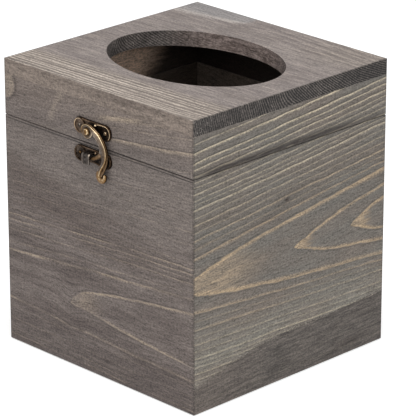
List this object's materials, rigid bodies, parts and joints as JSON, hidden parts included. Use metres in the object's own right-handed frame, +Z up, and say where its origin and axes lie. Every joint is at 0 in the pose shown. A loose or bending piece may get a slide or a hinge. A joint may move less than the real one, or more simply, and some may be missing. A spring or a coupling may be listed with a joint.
{
  "type": "tissue box cover",
  "caption": "Square stained-pine tissue box cover with a hinged lid, an oval opening in the top and a swing-arm hook latch in aged bronze.",
  "frame": {"origin": "middle of the underside, on the surface that the box stands on", "axes": "+Z up, -Y towards the front with the latch, +X to the right seen from the front"},
  "size_m": [0.1488, 0.1567, 0.1676],
  "materials": {
    "front_pine": "brown-grey stained pine, horizontal grain, matt",
    "side_pine": "green-grey stained pine with tan grain lines, matt",
    "top_pine": "pale mauve-grey stained pine, matt",
    "base_pine": "stained pine panel, matt",
    "dark_bronze": "aged bronze plating, dark, satin",
    "worn_bronze": "aged bronze plating worn bright on its raised edges, satin"
  },
  "bodies": {
    "box": {"front_panel": "front_pine", "back_panel": "side_pine", "left_panel": "side_pine", "right_panel": "side_pine", "base_panel": "base_pine", "catch_plate": "dark_bronze", "catch_plate_nails": "worn_bronze", "hinge_left_box_leaf": "dark_bronze", "hinge_left_pin": "worn_bronze", "hinge_right_box_leaf": "dark_bronze", "hinge_right_pin": "worn_bronze", "hinge_box_nails": "worn_bronze"},
    "lid": {"top_board": "top_pine", "lid_front_rail": "front_pine", "lid_back_rail": "side_pine", "lid_left_rail": "side_pine", "lid_right_rail": "side_pine", "lid_plate": "dark_bronze", "lid_plate_nails": "worn_bronze", "latch_rivet": "worn_bronze", "hinge_left_lid_leaf": "dark_bronze", "hinge_right_lid_leaf": "dark_bronze", "hinge_lid_nails": "worn_bronze"},
    "latch_arm": {"latch_arm": "worn_bronze"}
  },
  "joints": [
    {"name": "lid_hinge", "type": "hinge", "parent": "box", "child": "lid", "pos_m": [0, 0.07617, 0.13499], "axis": [-1, 0, 0], "range_deg": [0, 180]},
    {"name": "latch_swing", "type": "hinge", "parent": "lid", "child": "latch_arm", "pos_m": [-0.0046, -0.07442, 0.14278], "axis": [0, -1, 0], "range_deg": [0, 180]}
  ]
}
